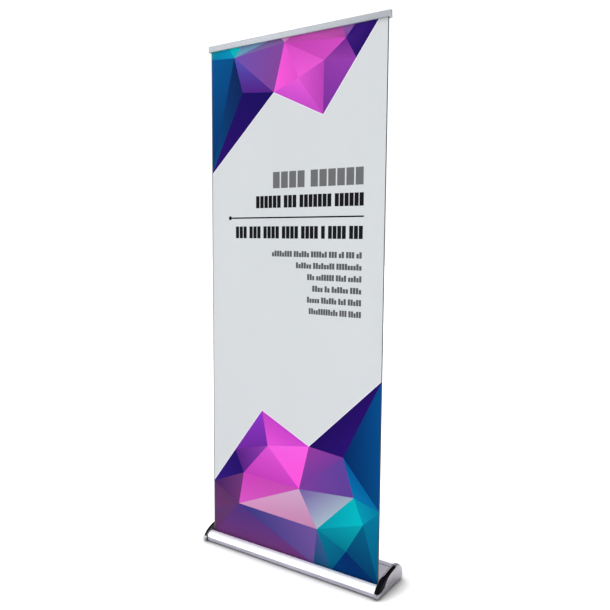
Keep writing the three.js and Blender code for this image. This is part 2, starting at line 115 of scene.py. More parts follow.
def make_camera():
    """The photo's camera, worked out from its perspective."""
    data = bpy.data.cameras.new("photo_camera")
    data.sensor_width = 36.0
    data.lens = 38.83
    camera = bpy.data.objects.new("photo_camera", data)
    bpy.context.scene.collection.objects.link(camera)
    place = (1.550, -2.249, 1.378)
    right = Vector((0.82797, 0.56072, 0.00730))
    up = Vector((-0.06183, 0.07835, 0.99501))
    back = Vector((0.55735, -0.82429, 0.09955))
    turn = Matrix((right, up, back)).transposed().to_4x4()
    camera.matrix_world = Matrix.Translation(place) @ turn
    bpy.context.scene.camera = camera


def make_stage():
    bm = bmesh.new()
    bmesh.ops.create_grid(bm, x_segments=2, y_segments=2, size=30.0)
    mesh = bpy.data.meshes.new("studio_floor")
    bm.to_mesh(mesh)
    bm.free()
    floor = bpy.data.objects.new("studio_floor", mesh)
    bpy.context.scene.collection.objects.link(floor)
    floor.data.materials.append(stage_material())


def stage_material():
    mat, nodes, links, shader = blank_material("studio_paper")
    shader.inputs["Roughness"].default_value = 0.9
    shader.inputs["Specular IOR Level"].default_value = 0.1
    grain = nodes.new("ShaderNodeTexNoise")
    grain.inputs["Scale"].default_value = 40.0
    paper = two_tones(nodes, links, grain.outputs["Fac"], (0.83, 0.83, 0.83), (0.86, 0.86, 0.86))
    # Painted contact shadow: the floor's colour darkens where ambient occlusion finds the object near.
    near = nodes.new("ShaderNodeAmbientOcclusion")
    near.samples = 8
    near.inputs["Distance"].default_value = 0.095
    open_sky = near.outputs["AO"]
    shade = map_range(nodes, links, open_sky, (0.50, 0.98), (0.42, 1.0))
    links.new(scaled(nodes, links, paper, shade), shader.inputs["Base Color"])
    # Painted light: the floor glows evenly, but less close to the object, which deepens the painted shadow.
    power = nodes.new("ShaderNodeMath")
    power.operation = "POWER"
    power.inputs[1].default_value = 4.0
    painted_glow = nodes.new("ShaderNodeMath")
    painted_glow.operation = "MULTIPLY"
    painted_glow.inputs[1].default_value = 0.36
    shader.inputs["Emission Color"].default_value = (1, 1, 1, 1)
    links.new(open_sky, power.inputs[0])
    links.new(power.outputs[0], painted_glow.inputs[0])
    links.new(painted_glow.outputs[0], shader.inputs["Emission Strength"])
    return mat


def add_soft_sun(name, place, spread, strength):
    """A broad, even light from the direction of place. spread is its width in degrees."""
    data = bpy.data.lights.new(name, "SUN")
    data.angle = math.radians(spread)
    data.energy = strength
    light = bpy.data.objects.new(name, data)
    bpy.context.scene.collection.objects.link(light)
    light.location = place
    light.rotation_euler = (-Vector(place)).to_track_quat("-Z", "Y").to_euler()


def make_world():
    """A pale room, brighter above, dimmer in reflections and plain white behind the object."""
    world = bpy.data.worlds.new("studio")
    bpy.context.scene.world = world
    world.use_nodes = True
    nodes, links = world.node_tree.nodes, world.node_tree.links
    nodes.clear()
    coord = nodes.new("ShaderNodeTexCoord")
    split = nodes.new("ShaderNodeSeparateXYZ")
    height = nodes.new("ShaderNodeMath")
    height.operation = "MULTIPLY_ADD"
    height.inputs[1].default_value = 0.5
    height.inputs[2].default_value = 0.5
    links.new(coord.outputs["Generated"], split.inputs["Vector"])
    links.new(split.outputs["Z"], height.inputs[0])
    tone = two_tones(nodes, links, height.outputs[0], (0.62, 0.62, 0.63), (1.0, 1.0, 1.0), (0.30, 0.95))
    room, mirrored, seen = (nodes.new("ShaderNodeBackground") for _ in range(3))
    room.inputs["Strength"].default_value = 0.72
    mirrored.inputs["Strength"].default_value = 0.50
    seen.inputs["Strength"].default_value = 1.15
    seen.inputs["Color"].default_value = (1, 1, 1, 1)
    links.new(tone, room.inputs["Color"])
    links.new(tone, mirrored.inputs["Color"])
    path = nodes.new("ShaderNodeLightPath")
    gloss = nodes.new("ShaderNodeMixShader")
    mix = nodes.new("ShaderNodeMixShader")
    out = nodes.new("ShaderNodeOutputWorld")
    links.new(path.outputs["Is Glossy Ray"], gloss.inputs["Fac"])
    links.new(room.outputs[0], gloss.inputs[1])
    links.new(mirrored.outputs[0], gloss.inputs[2])
    links.new(path.outputs["Is Camera Ray"], mix.inputs["Fac"])
    links.new(gloss.outputs[0], mix.inputs[1])
    links.new(seen.outputs[0], mix.inputs[2])
    links.new(mix.outputs[0], out.inputs["Surface"])


def make_lights():
    make_world()
    add_soft_sun("overhead", (0.3, -1.2, 4.0), 80, 1.5)
    add_soft_sun("front", (-3.2, -3.6, 1.8), 38, 1.15)
    add_soft_sun("right_fill", (3.4, -0.8, 1.6), 60, 0.45)
    add_soft_sun("back_left", (-2.2, 3.4, 2.2), 50, 0.22)
    data = bpy.data.lights.new("spark", "AREA")
    data.size = 0.07
    data.energy = 4.0
    spark = bpy.data.objects.new("spark", data)
    bpy.context.scene.collection.objects.link(spark)
    spark.location = (0.9, -2.5, 2.3)
    aim = Vector((0.43, -0.1, 0.03))  # the right end cover
    spark.rotation_euler = (aim - spark.location).to_track_quat("-Z", "Y").to_euler()
    view = bpy.context.scene.view_settings
    view.view_transform = "Standard"
    view.look = "None"


# ---- materials --------------------------------------------------------------

def linear(rgb):
    """An 8-bit sRGB colour as linear floats."""
    values = [c / 255.0 for c in rgb]
    return [v / 12.92 if v <= 0.04045 else ((v + 0.055) / 1.055) ** 2.4 for v in values]


def blank_material(name):
    mat = bpy.data.materials.new(name)
    mat.use_nodes = True
    nodes, links = mat.node_tree.nodes, mat.node_tree.links
    nodes.clear()
    out = nodes.new("ShaderNodeOutputMaterial")
    shader = nodes.new("ShaderNodeBsdfPrincipled")
    links.new(shader.outputs["BSDF"], out.inputs["Surface"])
    return mat, nodes, links, shader


def noise_field(nodes, links, stretch, scale, detail=4.0, roughness=0.55):
    coord = nodes.new("ShaderNodeTexCoord")
    mapping = nodes.new("ShaderNodeMapping")
    mapping.inputs["Scale"].default_value = stretch
    field = nodes.new("ShaderNodeTexNoise")
    field.inputs["Scale"].default_value = scale
    field.inputs["Detail"].default_value = detail
    field.inputs["Roughness"].default_value = roughness
    links.new(coord.outputs["Object"], mapping.inputs["Vector"])
    links.new(mapping.outputs["Vector"], field.inputs["Vector"])
    return field.outputs["Fac"]


def two_tones(nodes, links, value, first, second, stops=(0.0, 1.0)):
    """A colour that runs from first to second, in linear floats, as value runs between the stops."""
    ramp = nodes.new("ShaderNodeValToRGB")
    for element, position, colour in zip(ramp.color_ramp.elements, stops, (first, second)):
        element.position = position
        element.color = (*colour, 1)
    links.new(value, ramp.inputs["Fac"])
    return ramp.outputs["Color"]


def map_range(nodes, links, value, source, target):
    span = nodes.new("ShaderNodeMapRange")
    span.inputs["From Min"].default_value, span.inputs["From Max"].default_value = source
    span.inputs["To Min"].default_value, span.inputs["To Max"].default_value = target
    links.new(value, span.inputs["Value"])
    return span.outputs["Result"]


def scaled(nodes, links, colour, factor):
    product = nodes.new("ShaderNodeVectorMath")
    product.operation = "SCALE"
    links.new(colour, product.inputs[0])
    links.new(factor, product.inputs["Scale"])
    return product.outputs["Vector"]


def add_bump(nodes, links, shader, height, strength, distance):
    relief = nodes.new("ShaderNodeBump")
    relief.inputs["Strength"].default_value = strength
    relief.inputs["Distance"].default_value = distance
    links.new(height, relief.inputs["Height"])
    links.new(relief.outputs["Normal"], shader.inputs["Normal"])


def surface(name, tones, rough, metallic=0.0, stretch=(1, 1, 1), grain=600.0, cloud=8.0, bump=0.02,
            specular=0.5, ior=1.5):
    """A procedural finish: clouded colour between two sRGB tones, streaked or grained roughness
    between two values, and a fine bump. stretch draws the grain out along an axis."""
    mat, nodes, links, shader = blank_material(name)
    shader.inputs["Metallic"].default_value = metallic
    shader.inputs["Specular IOR Level"].default_value = specular
    shader.inputs["IOR"].default_value = ior
    clouds = noise_field(nodes, links, (1, 1, 1), cloud, 3.0)
    fine = noise_field(nodes, links, stretch, grain)
    blend = nodes.new("ShaderNodeMix")
    blend.data_type = "FLOAT"
    blend.inputs["Factor"].default_value = 0.45
    links.new(clouds, blend.inputs["A"])
    links.new(fine, blend.inputs["B"])
    dark, light = (linear(tone) for tone in tones)
    colour = two_tones(nodes, links, blend.outputs["Result"], dark, light, (0.32, 0.68))
    links.new(colour, shader.inputs["Base Color"])
    links.new(map_range(nodes, links, fine, (0.3, 0.7), rough), shader.inputs["Roughness"])
    add_bump(nodes, links, shader, fine, bump, 0.0004)
    return mat


def film_material(name, printed):
    """Matt banner film. The printed face takes its colours from the print's own colour layer."""
    mat, nodes, links, shader = blank_material(name)
    shader.inputs["Specular IOR Level"].default_value = 0.02
    fibre = noise_field(nodes, links, (1, 1, 1), 900.0, 6.0)
    tone = noise_field(nodes, links, (1, 1, 0.3), 3.0, 2.0)
    if printed:
        ink = nodes.new("ShaderNodeVertexColor")
        ink.layer_name = "Print"
        colour = ink.outputs["Color"]
    else:
        colour = two_tones(nodes, links, fibre, linear((196, 198, 200)), linear((212, 214, 216)))
    shade = map_range(nodes, links, tone, (0.3, 0.7), (0.975, 1.0))
    links.new(scaled(nodes, links, colour, shade), shader.inputs["Base Color"])
    links.new(map_range(nodes, links, fibre, (0.0, 1.0), (0.50, 0.66)), shader.inputs["Roughness"])
    add_bump(nodes, links, shader, fibre, 0.12, 0.0002)
    return mat


ALONG_X = (0.02, 1.0, 1.0)
ALONG_Z = (1.0, 1.0, 0.02)
SURFACES = {
    "base_anodised": dict(tones=((152, 149, 163), (184, 181, 195)), rough=(0.34, 0.48), metallic=0.62,
                          stretch=ALONG_X, grain=260.0, cloud=3.0, bump=0.10),
    "front_polished": dict(tones=((243, 244, 249), (251, 251, 254)), rough=(0.30, 0.38), metallic=0.35,
                           stretch=ALONG_X, grain=700.0, cloud=3.0, bump=0.04),
    "chrome_cover": dict(tones=((138, 134, 143), (170, 166, 174)), rough=(0.24, 0.36), metallic=1.0,
                         grain=90.0, cloud=14.0, bump=0.03),
    "gloss_black_inlay": dict(tones=((4, 4, 8), (9, 9, 14)), rough=(0.04, 0.08), grain=420.0, cloud=10.0,
                              bump=0.03, specular=0.4, ior=1.12),
    "steel_hardware": dict(tones=((150, 152, 156), (178, 180, 184)), rough=(0.30, 0.45), metallic=1.0,
                           grain=900.0, cloud=30.0, bump=0.08),
    "zinc_casting": dict(tones=((120, 121, 125), (146, 147, 150)), rough=(0.45, 0.62), metallic=0.9,
                         grain=1300.0, cloud=20.0, bump=0.25),
    "rubber": dict(tones=((22, 22, 23), (36, 36, 38)), rough=(0.75, 0.92), grain=1500.0, cloud=20.0,
                   bump=0.35),
    "pole_anodised": dict(tones=((186, 188, 193), (205, 207, 211)), rough=(0.26, 0.38), metallic=1.0,
                          stretch=ALONG_Z, grain=900.0, cloud=4.0, bump=0.08),
    "grey_plastic": dict(tones=((150, 153, 156), (166, 169, 172)), rough=(0.42, 0.55), grain=1100.0,
                         cloud=20.0, bump=0.18),
    "rail_anodised": dict(tones=((143, 147, 153), (156, 160, 166)), rough=(0.36, 0.48), metallic=0.35,
                          stretch=ALONG_X, grain=900.0, cloud=3.0, bump=0.08),
    "roller_steel": dict(tones=((148, 150, 154), (186, 188, 192)), rough=(0.35, 0.55), metallic=1.0,
                         grain=60.0, cloud=9.0, bump=0.05),
    "mounting_tape": dict(tones=((206, 200, 180), (224, 219, 202)), rough=(0.55, 0.7), grain=800.0,
                          cloud=30.0, bump=0.15),
    "black_plastic": dict(tones=((22, 22, 25), (34, 34, 38)), rough=(0.42, 0.6), grain=1400.0, cloud=20.0,
                          bump=0.30),
}
FINISH = {name: surface(name, **looks) for name, looks in SURFACES.items()}
FINISH["printed_film"] = film_material("printed_film", True)
FINISH["film_back"] = film_material("film_back", False)


# ---- mesh helpers -----------------------------------------------------------

def make_mesh(name, points, faces, slot, body=None, sharp=32.0, recalculate=True):
    """A piece from points in millimetres. It gets its finish, smooth shading, slot and body."""
    mesh = bpy.data.meshes.new(name)
    mesh.from_pydata([tuple(c * MM for c in p) for p in points], [], faces)
    bm = bmesh.new()
    bm.from_mesh(mesh)
    bmesh.ops.remove_doubles(bm, verts=bm.verts, dist=1e-7)
    if recalculate:
        bmesh.ops.recalc_face_normals(bm, faces=bm.faces)
    bm.to_mesh(mesh)
    bm.free()
    piece = bpy.data.objects.new(name, mesh)
    bpy.context.scene.collection.objects.link(piece)
    mesh.materials.append(FINISH[slot])
    smooth(piece, sharp)
    if body:
        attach(piece, body)
    return piece


def smooth(piece, sharp):
    mesh = piece.data
    mesh.polygons.foreach_set("use_smooth", [True] * len(mesh.polygons))
    mesh.set_sharp_from_angle(angle=math.radians(sharp))


def apply_modifiers(piece):
    bpy.context.view_layer.update()
    depsgraph = bpy.context.evaluated_depsgraph_get()
    mesh = bpy.data.meshes.new_from_object(piece.evaluated_get(depsgraph))
    piece.modifiers.clear()
    old = piece.data
    piece.data = mesh
    mesh.name = piece.name
    bpy.data.meshes.remove(old)


def round_edges(piece, width, angle=40.0, segments=3, sharp=32.0):
    bevel = piece.modifiers.new("rounding", "BEVEL")
    bevel.width = width * MM
    bevel.segments = segments
    bevel.limit_method = "ANGLE"
    bevel.angle_limit = math.radians(angle)
    bevel.use_clamp_overlap = True
    apply_modifiers(piece)
    smooth(piece, sharp)


def combine(piece, other, operation):
    """Joins other to the piece, or cuts it away, and removes other."""
    modifier = piece.modifiers.new("combine", "BOOLEAN")
    modifier.operation = operation
    modifier.solver = "EXACT"
    modifier.object = other
    apply_modifiers(piece)
    bpy.data.objects.remove(other)


def arc(y, z, a, b, start, end, steps):
    """Points of an elliptical arc, in degrees from +Y towards +Z."""
    angles = [math.radians(start + (end - start) * i / steps) for i in range(steps + 1)]
    return [(y + a * math.cos(t), z + b * math.sin(t)) for t in angles]


def bezier(controls, steps):
    """Points of a quadratic or cubic Bezier curve, without its first point."""
    degree = len(controls) - 1
    points = []
    for i in range(1, steps + 1):
        t = i / steps
        weights = [math.comb(degree, k) * t ** k * (1 - t) ** (degree - k) for k in range(degree + 1)]
        points.append(tuple(sum(w * c[axis] for w, c in zip(weights, controls)) for axis in (0, 1)))
    return points


def catmull(points, steps):
    """Points of a smooth curve through the given ones."""
    result = [points[0]]
    for i in range(len(points) - 1):
        before = points[max(i - 1, 0)]
        after = points[min(i + 2, len(points) - 1)]
        for k in range(1, steps + 1):
            t = k / steps
            point = []
            for axis in (0, 1):
                p1, p2 = points[i][axis], points[i + 1][axis]
                v0, v1 = (p2 - before[axis]) / 2, (after[axis] - p1) / 2
                point.append((2 * p1 - 2 * p2 + v0 + v1) * t ** 3
                             + (-3 * p1 + 3 * p2 - 2 * v0 - v1) * t ** 2 + v0 * t + p1)
            result.append(tuple(point))
    return result


def sweep(name, loops, x0, x1, slot, body=None, sharp=32.0, edge=0.0):
    """A section in (y, z), an outline followed by any holes, swept along X."""
    points, faces = [], []
    for loop in loops:
        start, count = len(points), len(loop)
        points += [(x0, y, z) for y, z in loop] + [(x1, y, z) for y, z in loop]
        for i in range(count):
            j = (i + 1) % count
            faces.append((start + i, start + j, start + count + j, start + count + i))
    flat = [[Vector((y, z, 0)) for y, z in loop] for loop in loops]
    near, far = [], []
    for loop in loops:
        start = len(near) * 2
        count = len(loop)
        near += list(range(start, start + count))
        far += list(range(start + count, start + 2 * count))
    for a, b, c in geometry.tessellate_polygon(flat):
        faces.append((near[a], near[b], near[c]))
        faces.append((far[c], far[b], far[a]))
    piece = make_mesh(name, points, faces, slot, body, sharp)
    if edge > 0:
        round_edges(piece, edge, sharp=sharp)
    return piece


def strip(line, thickness):
    """A band of constant thickness along a line of (y, z) points."""
    offset = []
    for i in range(len(line)):
        y0, z0 = line[max(i - 1, 0)]
        y1, z1 = line[min(i + 1, len(line) - 1)]
        length = math.hypot(y1 - y0, z1 - z0)
        y, z = line[i]
        offset.append((y - thickness * (z1 - z0) / length, z + thickness * (y1 - y0) / length))
    return line + offset[::-1]


def on_pole(x, y, s):
    """A point beside the pole's axis, s along it, in millimetres."""
    side = Vector((1, 0, 0))
    depth = POLE_AXIS.cross(side)
    return POLE_FOOT + side * x + depth * y + POLE_AXIS * s


def lathe(name, profile, slot, body, segments=64, flute=None, edge=0.4):
    """A closed profile of (radius, height) turned about the pole's axis.
    flute is (count, depth, from, to): grip flutes on the outer surface between two heights."""
    points, faces = [], []
    count = len(profile)
    for k in range(segments):
        angle = 2 * math.pi * k / segments
        for radius, height in profile:
            r = radius
            if flute and flute[2] <= height <= flute[3]:
                r -= flute[1] * (0.5 + 0.5 * math.cos(flute[0] * angle)) ** 2
            points.append(tuple(on_pole(r * math.cos(angle), r * math.sin(angle), height)))
    for k in range(segments):
        for i in range(count):
            a, b = k * count + i, k * count + (i + 1) % count
            c = ((k + 1) % segments) * count + i
            d = ((k + 1) % segments) * count + (i + 1) % count
            if profile[i][0] == 0 and profile[(i + 1) % count][0] == 0:
                continue
            faces.append((a, c, d, b))
    piece = make_mesh(name, points, faces, slot, body)
    if edge > 0:
        round_edges(piece, edge, angle=50.0, segments=3)
    return piece


def refine(node, name, slot, body, edge, segments=3):
    """The CAD node's own shape with clean flat faces and rounded edges."""
    mesh = frame["nodes"][node].data.copy()
    bm = bmesh.new()
    bm.from_mesh(mesh)
    bmesh.ops.remove_doubles(bm, verts=bm.verts, dist=1e-6)
    bmesh.ops.dissolve_limit(bm, angle_limit=math.radians(2), verts=bm.verts, edges=bm.edges)
    bm.to_mesh(mesh)
    bm.free()
    piece = bpy.data.objects.new(name, mesh)
    bpy.context.scene.collection.objects.link(piece)
    mesh.materials.clear()
    mesh.materials.append(FINISH[slot])
    round_edges(piece, edge, angle=35.0, segments=segments)
    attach(piece, body)
    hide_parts(node)
    return piece


# ---- base extrusions --------------------------------------------------------

def front_section():
    """The cassette's section: toe, nose seat, slot, roller chamber and top, as one outline."""
    under = NOSE_SKIN + 0.3
    floor = BASE_BOTTOM + WALL
    line = [(-98.5, BASE_BOTTOM)]
    line += bezier([(-98.5, BASE_BOTTOM), (-101.2, BASE_BOTTOM), (-101.6, 6.5)], 8)
    line += [(-102, NOSE["z"] - 1.4), (-100.1, NOSE["z"] - 0.6)]
    line += arc(NOSE["y"], NOSE["z"], NOSE["a"] - under, NOSE["b"] - under, 180, 62, 40)
    line += [(SLOT_FRONT, 40.6), (SLOT_FRONT, floor), (CHAMBER_BACK, floor)]
    line += [(CHAMBER_BACK, 64.9), (-30, 61.5), (-38.6, 59.3), (-45.2, 56.2), (-50.3, 52.6), (-53.6, 50)]
    line += [(-53.6, 47.6), (SLOT_LIP, 47.6), (SLOT_LIP, 50)]
    shoulder = (-30, 64)
    line += bezier([(SLOT_LIP, 50), (-51, 56), (-44, 61.5), shoulder], 16)
    rise = bezier([shoulder, (-10, 68.5), (14, BASE_TOP), (CROWN["y"], BASE_TOP)], 48)
    groove = SPLIT_Y - GROOVE_HALF
    line += [p for p in rise if p[0] < groove - 2 * GROOVE_BEVEL]
    line += [(groove - GROOVE_BEVEL, BASE_TOP - 0.4), (groove, BASE_TOP - 0.8)]
    line += [(groove, BASE_TOP - GROOVE_DEPTH), (SPLIT_Y, BASE_TOP - GROOVE_DEPTH), (SPLIT_Y, BASE_BOTTOM)]
    toe_room = [(-94, floor), (SLOT_FRONT - WALL, floor), (SLOT_FRONT - WALL, 37.4)]
    toe_room += arc(NOSE["y"], NOSE["z"], NOSE["a"] - 4.2, NOSE["b"] - 4.2, 65, 180, 24) + [(-98.4, 14)]
    pole_room = [(-12, floor), (30.2, floor), (30.2, 68), (24, 70.4), (-12, 65.2)]
    return [line, toe_room, pole_room]


def rear_section():
    """The rear extrusion's outline and its hollow."""
    back = CROWN["y"] + CROWN["a"]
    groove, groove_floor = REAR_FROM + GROOVE_HALF, BASE_TOP - GROOVE_DEPTH
    foot = 88  # where the flat underside ends
    line = [(REAR_FROM, BASE_BOTTOM), (REAR_FROM, groove_floor), (groove, groove_floor)]
    line += [(groove, BASE_TOP - 0.6), (groove + 0.4, BASE_TOP - 0.1), (CROWN["y"] - 4, BASE_TOP)]
    line += arc(CROWN["y"], CROWN["z"], CROWN["a"], CROWN["b"], 90, 0, 64)
    line += bezier([(back, CROWN["z"]), (back, BASE_BOTTOM), (foot, BASE_BOTTOM)], 16)
    floor, inside = BASE_BOTTOM + WALL, back - WALL
    hollow = [(REAR_FROM + WALL, floor), (foot, floor)]
    hollow += bezier([(foot, floor), (inside, floor), (inside, CROWN["z"])], 12)
    hollow += arc(CROWN["y"], CROWN["z"], CROWN["a"] - WALL, CROWN["b"] - WALL, 2, 90, 32)
    hollow += [(groove + WALL, BASE_TOP - WALL), (groove + WALL, groove_floor - WALL)]
    hollow += [(REAR_FROM + WALL, groove_floor - WALL)]
    return [line, hollow]


def make_base():
    half = HALF_EXTRUSION
    body = sweep("base_front_extrusion", front_section(), -half, half, "base_anodised", None, 24)
    socket_bore = cylinder_on_pole(SOCKET_R + 0.4, 48, 108)
    combine(body, socket_bore, "DIFFERENCE")
    smooth(body, 24)
    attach(body, "base")
    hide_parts("cassette_body")
    paint_groove_shade(body)
    rear = sweep("base_rear_extrusion", rear_section(), -half, half, "base_anodised", "base", 24)
    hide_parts("rear_profile")
    paint_groove_shade(rear)
    outer = arc(NOSE["y"], NOSE["z"], NOSE["a"], NOSE["b"], 180, 65, 72)
    inner = arc(NOSE["y"], NOSE["z"], NOSE["a"] - NOSE_SKIN, NOSE["b"] - NOSE_SKIN, 66, 180, 72)
    cover = sweep("polished_front_tube", [outer + inner], -half, half, "front_polished", "base", 30, 0.3)
    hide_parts("front_cover")


def paint_groove_shade(piece):
    """The groove's walls between the two extrusions get the black plastic finish: painted shade, so it reads as a
    black shadow gap.
    """
    piece.data.materials.append(FINISH["black_plastic"])
    for face in piece.data.polygons:
        aside, depth = abs(face.center.y / MM - SPLIT_Y), BASE_TOP - face.center.z / MM
        if aside < GROOVE_HALF + 0.6 and 0.7 < depth < GROOVE_DEPTH + 0.5:
            face.material_index = len(piece.data.materials) - 1


def cylinder_on_pole(radius, low, high, segments=64):
    points, faces = [], []
    for s in (low, high):
        for k in range(segments):
            angle = 2 * math.pi * k / segments
            points.append(tuple(on_pole(radius * math.cos(angle), radius * math.sin(angle), s)))
    for k in range(segments):
        j = (k + 1) % segments
        faces.append((k, j, segments + j, segments + k))
    faces.append(tuple(range(segments)))
    faces.append(tuple(range(2 * segments - 1, segments - 1, -1)))
    return make_mesh("cutter", points, faces, "base_anodised")


# ---- end covers -------------------------------------------------------------

EDGE_RADIUS = 7.0
DOME = 1.4  # how far the cover's outer face bulges
SHELL = 2.4
SEAM = 0.12  # half of the seam between cover and inlay
FLAT_MIDDLE = (-6.0, 16.0)  # (y, z) in the middle of the outer face
FLAT_SHARE = (0.80, 0.30)  # the flat part of the outer face against the whole outline
RIM_FROM = cad("end_cover_right")[0].x
RIM = HALF_BASE - DOME - EDGE_RADIUS - RIM_FROM  # width of the rim before the rounded edge
TURN = EDGE_RADIUS * math.pi / 2  # length of the rounded edge's arc
TIP_Y = 42.0  # rear end of the inlay
ROWS_RIM, ROWS_INLAY, ROWS_SIDE = 3, 22, 16
COLUMNS, FOOT_COLUMNS = 380, 60


def cover_line():
    """The end cover's outline from its front foot over the crown to its back foot."""
    rise = [(TOE_Y, 14), (-107, 20), (-103.5, 28.5), (-97, 37), (-89, 44.5), (-79, 51), (-67.5, 57.5),
            (-55, 62.8), (-42, 66.5)]
    line = [(-92, COVER_BOTTOM)]
    line += bezier([(-92, COVER_BOTTOM), (-106, COVER_BOTTOM), (TOE_Y, 14)], 16)
    line += catmull(rise, 8)[1:]
    line += bezier([rise[-1], (-20, 71.8), (14, COVER_TOP), (CROWN["y"], COVER_TOP)], 40)
    line += arc(CROWN["y"], CROWN["z"], BACK_Y - CROWN["y"], CROWN["b"] + PROUD, 90, 0, 60)[1:]
    line += bezier([(BACK_Y, CROWN["z"]), (BACK_Y, COVER_BOTTOM), (92, COVER_BOTTOM)], 20)
    return line


def resample(points, count):
    """The open line's points moved to even spacing."""
    points = np.array(points, float)
    lengths = np.concatenate([[0], np.cumsum(np.linalg.norm(np.diff(points, axis=0), axis=1))])
    at = np.linspace(0, lengths[-1], count)
    return np.stack([np.interp(at, lengths, points[:, k]) for k in (0, 1)], axis=1)


# The inlay's two boundaries: its lower one on the outer face, in (y, z), and its upper one as a
# distance from the rim's inner edge for each y.
SWEEP_CURVE = np.array(catmull([(-125, 23.5), (-104, 24.2), (-79, 26.8), (-64, 30.5), (-54, 36), (-45, 44.5),
                                (-35, 52.6), (-11, 63.6), (20, 70.3), (42, 72.6), (60, 74)], 16))
RIM_CURVE = np.array([(-108, 0.8), (-60, 0.8), (-52, 1.4), (-44, 3.6), (-37, 7.0), (-28, 8.2), (45, 8.6)])


def cover_columns():
    """Outline points with their outward normals, split into the inlay's stretch and the rest."""
    line = resample(cover_line(), COLUMNS)
    foot = resample([line[-1], line[0]], FOOT_COLUMNS)[1:-1]
    loop = np.vstack([line, foot])
    ahead, behind = np.roll(loop, -1, axis=0), np.roll(loop, 1, axis=0)
    tangent = ahead - behind
    normal = np.stack([-tangent[:, 1], tangent[:, 0]], axis=1)
    normal /= np.linalg.norm(normal, axis=1)[:, None]
    for _ in range(6):
        normal = (np.roll(normal, 1, axis=0) + 2 * normal + np.roll(normal, -1, axis=0)) / 4
    normal /= np.linalg.norm(normal, axis=1)[:, None]
    above = loop[:, 1] > np.interp(loop[:, 0], SWEEP_CURVE[:, 0], SWEEP_CURVE[:, 1])
    start = next(i for i in range(10, 200) if above[i] and loop[i, 1] > 19)
    end = next(i for i in range(start, COLUMNS) if loop[i, 0] > TIP_Y)
    return loop, normal, start, end


def cover_point(outline, normal, inner, w):
    """The cover's surface at a distance w from the rim's inner edge, across the cover."""
    if w <= RIM:
        return RIM_FROM + w, outline[0], outline[1]
    if w <= RIM + TURN:
        angle = (w - RIM) / EDGE_RADIUS
        inward = EDGE_RADIUS * (1 - math.cos(angle))
        x = RIM_FROM + RIM + EDGE_RADIUS * math.sin(angle)
        return x, outline[0] - normal[0] * inward, outline[1] - normal[1] * inward
    edge = outline - normal * EDGE_RADIUS
    length = np.linalg.norm(inner - edge)
    s = min((w - RIM - TURN) / length, 1.0)
    point = edge + (inner - edge) * s
    return HALF_BASE - DOME + DOME * (1 - (1 - s) ** 2), point[0], point[1]


def make_end_covers():
    loop, normal, start, end = cover_columns()
    count = len(loop)
    middle = np.array(FLAT_MIDDLE)
    inner = middle + (loop - middle) * np.array(FLAT_SHARE)
    total = RIM + TURN + np.linalg.norm(inner - (loop - normal * EDGE_RADIUS), axis=1)
    # In each column the inlay lies between low and high, measured across the cover.
    low, high = np.zeros(count), np.zeros(count)
    for i in range(count):
        low[i] = np.interp(loop[i, 0], RIM_CURVE[:, 0], RIM_CURVE[:, 1])
        if start <= i <= end:
            ws = np.linspace(RIM * 0.98, total[i], 240)
            at = np.array([cover_point(loop[i], normal[i], inner[i], w)[1:] for w in ws])
            under = at[:, 1] < np.interp(at[:, 0], SWEEP_CURVE[:, 0], SWEEP_CURVE[:, 1])
            high[i] = ws[np.argmax(under)] if under.any() else total[i] * 0.5
    share_end, share_start = high[end] / total[end], high[start] / total[start]
    # Behind the inlay the mesh rows ease from one end's height to the other's.
    rest = count - (end - start)
    for k in range(1, rest):
        i = (end + k) % count
        t = k / rest
        t = t * t * (3 - 2 * t)
        high[i] = total[i] * (share_end * (1 - t) + share_start * t)
    kernel = np.array([1, 2, 3, 2, 1]) / 9
    stretch = np.arange(start, end + 1)
    padded = np.pad(high[stretch], 2, mode="edge")
    high[stretch] = np.convolve(padded, kernel, "valid")
    low = np.convolve(np.pad(low, 2, mode="wrap"), kernel, "valid")
    for side, mirror in (("right", 1), ("left", -1)):
        cover_shell(side, mirror, loop, normal, inner, total, low, high, start, end)
        inlay_shell(side, mirror, loop, normal, inner, low, high, start, end)


def shell_piece(name, points, faces, mirror, slot, node):
    """A shell from its outer surface, drawn for the right side and mirrored for the left."""
    if mirror < 0:
        points = [(-x, y, z) for x, y, z in points]
    else:
        faces = [tuple(reversed(f)) for f in faces]
    piece = make_mesh(name, points, faces, slot, recalculate=False)
    wall = piece.modifiers.new("wall", "SOLIDIFY")
    wall.thickness = SHELL * MM
    wall.offset = -1
    wall.use_even_offset = False
    apply_modifiers(piece)
    round_edges(piece, 0.3, angle=60.0, segments=2, sharp=40.0)
    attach(piece, "base")
    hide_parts(node)


def cover_shell(side, mirror, loop, normal, inner, total, low, high, start, end):
    count = len(loop)
    rows = ROWS_RIM + ROWS_INLAY + ROWS_SIDE
    points = []
    for i in range(count):
        first = max(low[i] - SEAM, 0.02)
        ws = np.concatenate([
            np.linspace(0, first, ROWS_RIM + 1),
            np.linspace(first, high[i] + SEAM, ROWS_INLAY + 1)[1:],
            np.linspace(high[i] + SEAM, total[i], ROWS_SIDE + 1)[1:],
        ])
        points += [cover_point(loop[i], normal[i], inner[i], w) for w in ws]
    faces = []
    for i in range(count):
        j = (i + 1) % count
        for r in range(rows):
            if start <= i < end and ROWS_RIM <= r < ROWS_RIM + ROWS_INLAY:
                continue
            a, b = i * (rows + 1) + r, i * (rows + 1) + r + 1
            c, d = j * (rows + 1) + r + 1, j * (rows + 1) + r
            faces.append((a, b, c, d))
    last = [i * (rows + 1) + rows for i in range(count)]
    middle = len(points)
    points.append((HALF_BASE, *FLAT_MIDDLE))
    faces += [(last[i], middle, last[(i + 1) % count]) for i in range(count)]
    shell_piece(f"chrome_end_cover_{side}", points, faces, mirror, "chrome_cover", f"end_cover_{side}")


